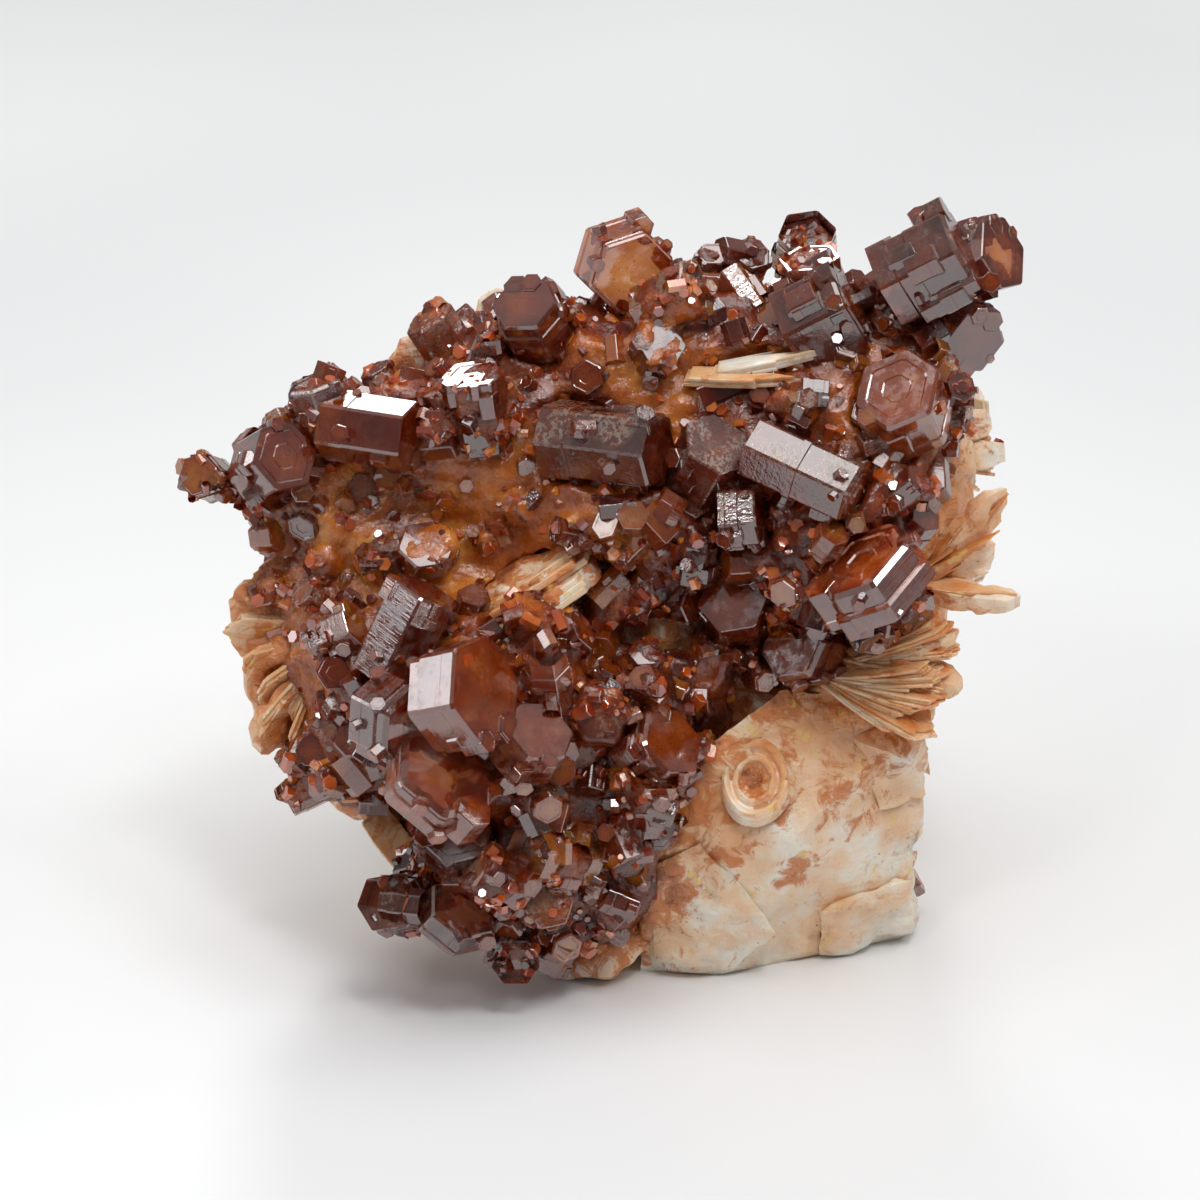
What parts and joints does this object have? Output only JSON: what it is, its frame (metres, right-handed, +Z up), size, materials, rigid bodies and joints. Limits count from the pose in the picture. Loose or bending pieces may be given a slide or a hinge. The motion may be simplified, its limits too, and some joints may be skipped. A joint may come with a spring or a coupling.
{
  "type": "vanadinite on matrix",
  "caption": "Mineral specimen: stubby brown-red hexagonal vanadinite crystals in a dense crust over a pale, bladed barite matrix. It stands on a broken face of the matrix.",
  "frame": {"origin": "middle of the footprint, on the surface that the specimen rests on", "axes": "+Z up, +X to the right as the display side is seen, -Y towards a viewer of the display side"},
  "size_m": [0.0418, 0.0324, 0.0384],
  "materials": {
    "barite": "white to peach barite, translucent at its edges, satin, with orange iron stains",
    "crust": "brown-red vanadinite druse, resinous lustre, glossy crystal faces",
    "crystal": "deep brown-red translucent vanadinite, bright resinous to mirror-like faces"
  },
  "bodies": {
    "root": {"barite_matrix": "barite", "vanadinite_crust": "crust", "vanadinite_arm_large": "crystal", "vanadinite_bottom_grey": "crystal", "vanadinite_bottom_slab": "crystal", "vanadinite_centre_frosted": "crystal", "vanadinite_edge_disc": "crystal", "vanadinite_front_barrel": "crystal", "vanadinite_front_slab": "crystal", "vanadinite_hollow_round": "crystal", "vanadinite_left_pair": "crystal", "vanadinite_lower_right_hexagon": "crystal", "vanadinite_right_orange": "crystal", "vanadinite_right_slab": "crystal", "vanadinite_top_peak": "crystal", "vanadinite_top_right_barrel": "crystal", "vanadinite_upper_dark": "crystal"}
  },
  "joints": []
}
